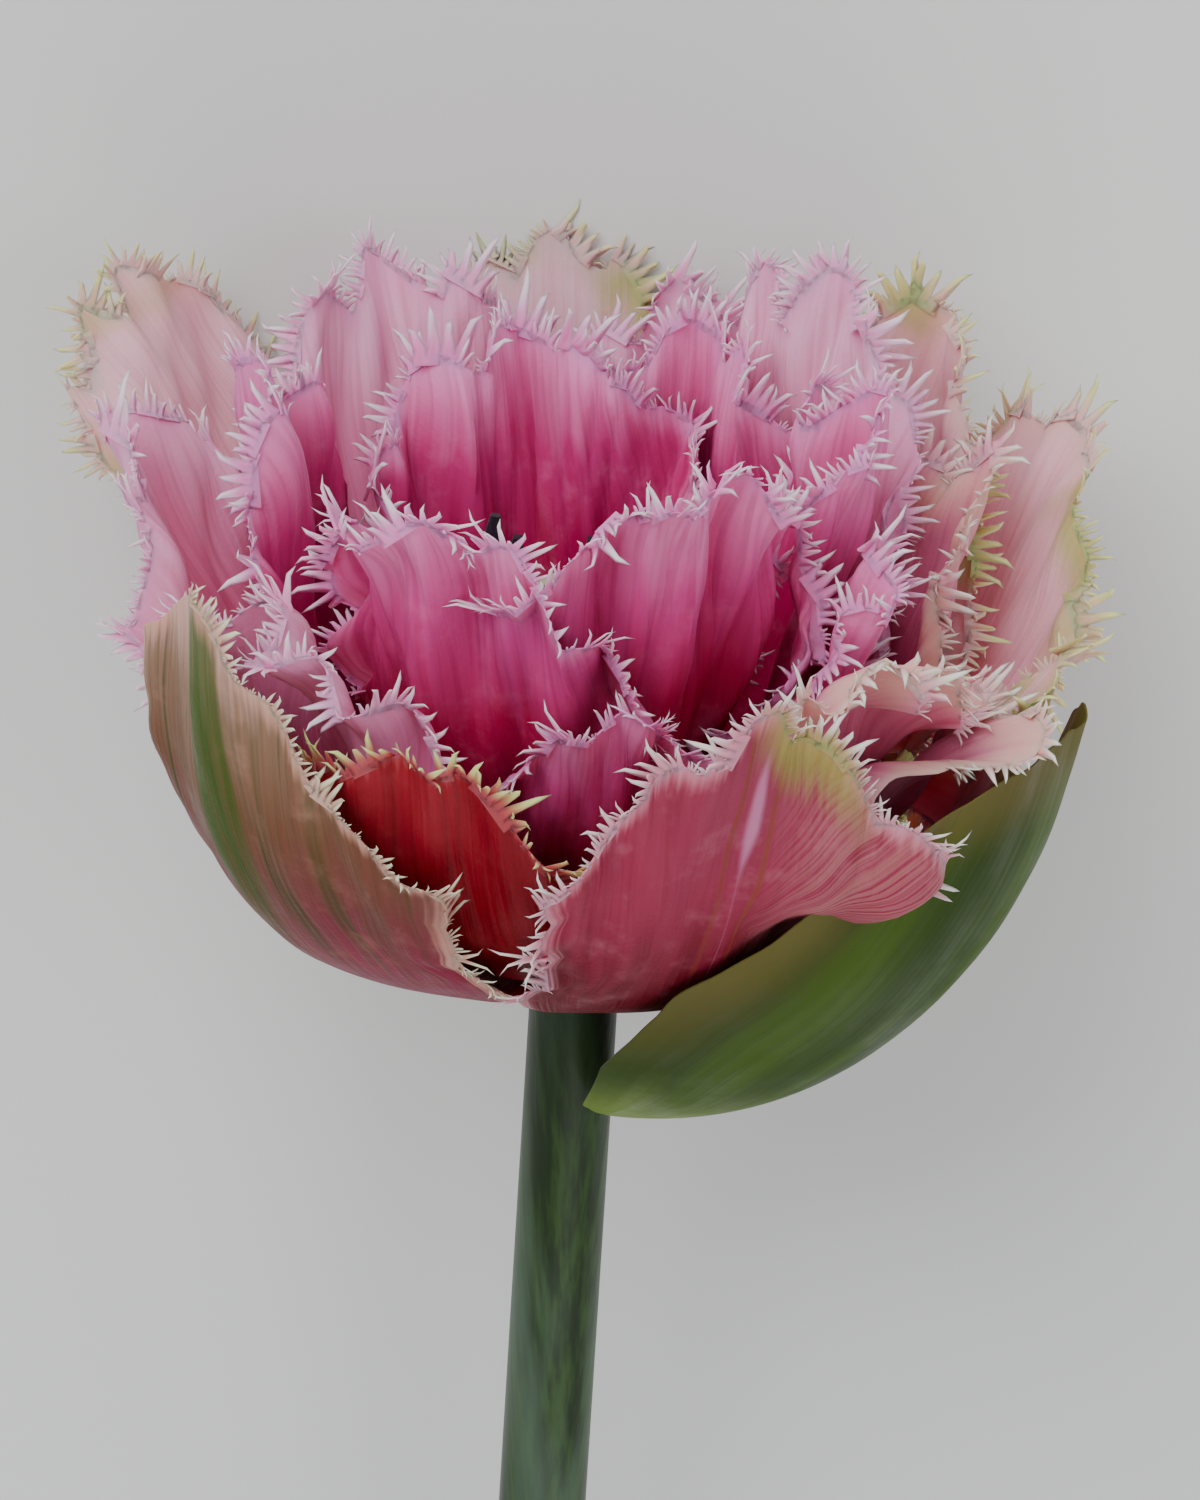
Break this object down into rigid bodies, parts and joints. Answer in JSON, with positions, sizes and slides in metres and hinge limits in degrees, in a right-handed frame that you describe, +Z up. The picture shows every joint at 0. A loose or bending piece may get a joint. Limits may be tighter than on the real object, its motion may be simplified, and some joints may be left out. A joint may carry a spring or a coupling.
{
  "type": "fringed tulip",
  "caption": "Cut double fringed tulip laid on its side: cupped pink petals with needle fringes in close layers, a green bract, a smooth stem and clasping leaves",
  "frame": {"origin": "on the surface that the flower lies on, under the middle of its box", "axes": "+Z up; +Y along the flower from the cut end of the stem to the bloom; +X to the right seen from above with the bloom at the far end"},
  "size_m": [0.118, 0.332, 0.0837],
  "materials": {
    "outer_petals": "satin",
    "keeled_petal": "satin",
    "middle_petals": "satin",
    "inner_petals": "satin",
    "bract": "waxy satin",
    "stem": "waxy satin",
    "leaves": "waxy matte",
    "pistil": "satin",
    "stamens": "matte"
  },
  "bodies": {
    "root": {"stem": "stem", "petal_front": "outer_petals", "petal_left_keel": "keeled_petal", "petal_right": "outer_petals", "petal_back": "outer_petals", "petal_right_tip": "outer_petals", "petal_back_left": "outer_petals", "petal_front_left": "outer_petals", "petal_back_right": "outer_petals", "petal_front_right": "middle_petals", "petal_side_right": "middle_petals", "petal_side_left": "middle_petals", "petal_back_middle": "middle_petals", "petal_rolled": "middle_petals", "petal_inner_left": "middle_petals", "petal_inner_back": "middle_petals", "petal_back_inner_right": "middle_petals", "petal_inner_front": "inner_petals", "petal_inner_right": "inner_petals", "petal_cup_left": "inner_petals", "petal_cup_back": "inner_petals", "petal_heart_left": "inner_petals", "petal_cup_right": "inner_petals", "petal_heart_front": "inner_petals", "petal_heart_back": "inner_petals", "bract": "bract", "pistil": "pistil", "stamen_1": "stamens", "stamen_2": "stamens", "stamen_3": "stamens", "stamen_4": "stamens", "stamen_5": "stamens", "stamen_6": "stamens", "leaf_left": "leaves", "leaf_right": "leaves"}
  },
  "joints": []
}
